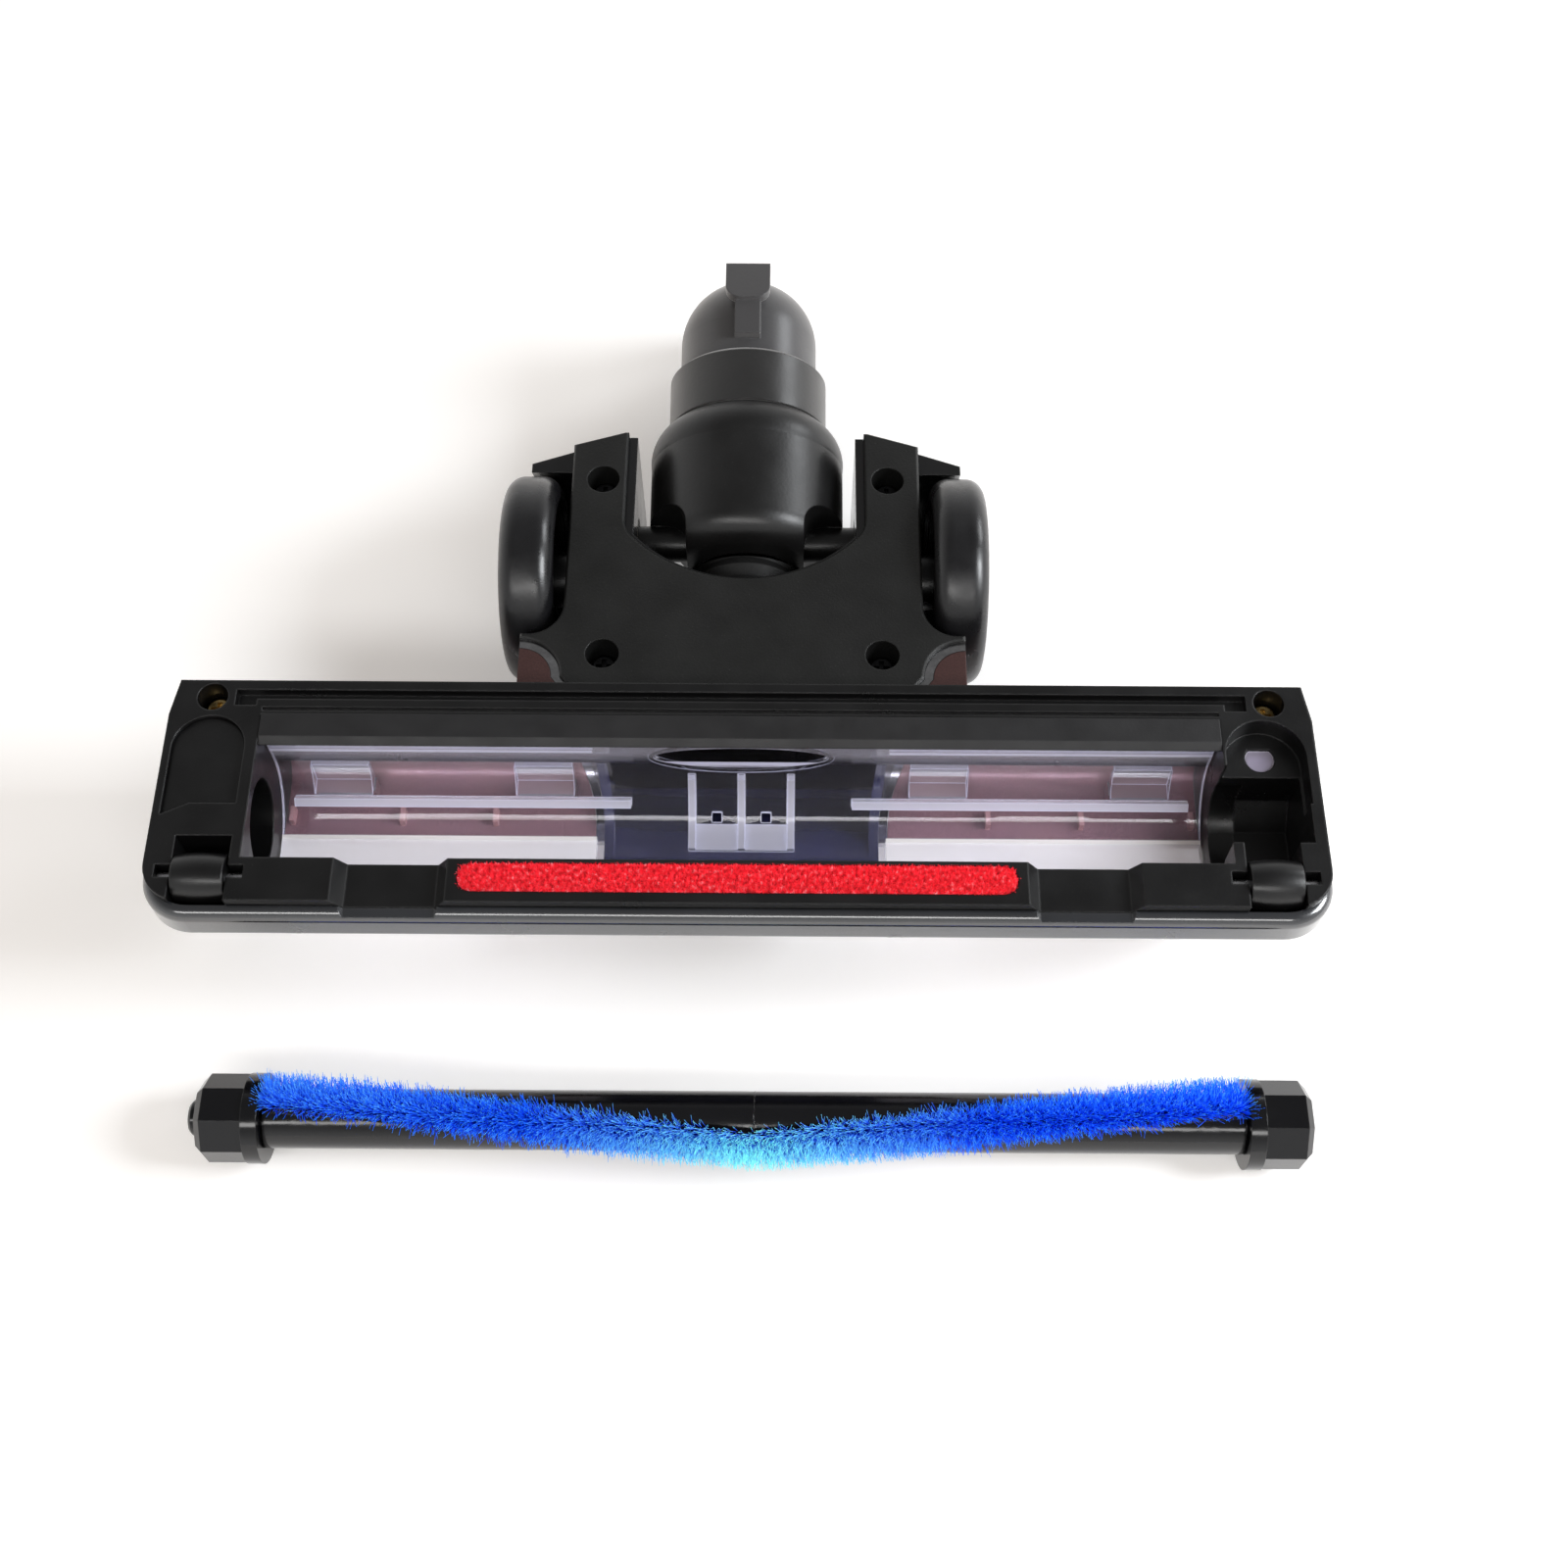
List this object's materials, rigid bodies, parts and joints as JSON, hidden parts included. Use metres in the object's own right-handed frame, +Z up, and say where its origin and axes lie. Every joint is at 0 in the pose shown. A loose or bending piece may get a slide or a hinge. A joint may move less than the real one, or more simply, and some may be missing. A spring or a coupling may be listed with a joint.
{
  "type": "vacuum floor brush head",
  "caption": "Vacuum floor head lying sole up with clear-lined brush chamber, red lint strip, rear wheels and swivel neck; its blue-bristled brush roller lies in front.",
  "frame": {"origin": "middle of the whole outline, on the table that the head and its roller lie on", "axes": "+X along the head to the right, +Y from the nose to the neck, +Z up from the table"},
  "size_m": [0.262, 0.244, 0.0583],
  "materials": {
    "black_plastic": "satin",
    "bumper_black": "gloss",
    "clear_lilac": "clear",
    "navy": "gloss",
    "red_brown": "metallic",
    "silver": "satin",
    "rubber_black": "matt",
    "velour_red": "pile",
    "bristle_blue": "pile",
    "tyre_black": "satin",
    "steel": "bright",
    "brass": "bright",
    "bush_grey": "satin"
  },
  "bodies": {
    "head": {"bay_window": "clear_lilac", "chamber_liner": "clear_lilac", "corner_screws": "brass", "duct_hose": "rubber_black", "front_bumper": "bumper_black", "left_end_block": "black_plastic", "left_end_cap": "black_plastic", "left_front_axle": "steel", "left_neck_bush": "bush_grey", "left_roller_bush": "bush_grey", "left_trim": "silver", "left_wheel_axle": "steel", "left_wing": "red_brown", "lint_strip": "velour_red", "plate_screws": "steel", "rear_plate": "black_plastic", "rear_wiper": "rubber_black", "right_end_block": "black_plastic", "right_front_axle": "steel", "right_neck_bush": "bush_grey", "right_roller_bush": "bush_grey", "right_trim": "silver", "right_wheel_axle": "steel", "right_wing": "red_brown", "sole_frame": "black_plastic", "top_shell": "navy"},
    "neck": {"neck_barrel": "black_plastic", "swivel_washer": "black_plastic"},
    "elbow": {"neck_elbow": "black_plastic"},
    "left_wheel": {"left_wheel_hub": "black_plastic", "left_tyre": "tyre_black"},
    "right_wheel": {"right_wheel_hub": "black_plastic", "right_tyre": "tyre_black"},
    "left_nose_roller": {"left_front_roller": "black_plastic"},
    "right_nose_roller": {"right_front_roller": "black_plastic"},
    "brush": {"roller_shaft": "steel", "left_roller_core": "black_plastic", "right_roller_core": "black_plastic", "left_bristle_strip": "bristle_blue", "right_bristle_strip": "bristle_blue", "left_roller_blade": "rubber_black", "right_roller_blade": "rubber_black"}
  },
  "joints": [
    {"name": "neck_tilt", "type": "hinge", "parent": "head", "child": "neck", "pos_m": [0, 0.03723, 0.027], "axis": [1, 0, 0], "range_deg": [-36, 13], "deforming": ["duct_hose"]},
    {"name": "neck_swivel", "type": "hinge", "parent": "neck", "child": "elbow", "pos_m": [0, 0.06678, 0.03221], "axis": [0, 0.9848, 0.1736], "range_deg": [-90, 90]},
    {"name": "left_wheel_spin", "type": "hinge", "parent": "head", "child": "left_wheel", "pos_m": [-0.05225, 0.02453, 0.0295], "axis": [1, 0, 0], "continuous": true},
    {"name": "right_wheel_spin", "type": "hinge", "parent": "head", "child": "right_wheel", "pos_m": [0.05225, 0.02453, 0.0295], "axis": [1, 0, 0], "continuous": true},
    {"name": "left_nose_roller_spin", "type": "hinge", "parent": "head", "child": "left_nose_roller", "pos_m": [-0.1176, -0.06737, 0.0486], "axis": [1, 0, 0], "continuous": true},
    {"name": "right_nose_roller_spin", "type": "hinge", "parent": "head", "child": "right_nose_roller", "pos_m": [0.1176, -0.06737, 0.0486], "axis": [1, 0, 0], "continuous": true},
    {"name": "brush_spin", "type": "hinge", "parent": "head", "child": "brush", "pos_m": [0.0038, -0.10927, 0.0102], "axis": [1, 0, 0], "continuous": true}
  ]
}
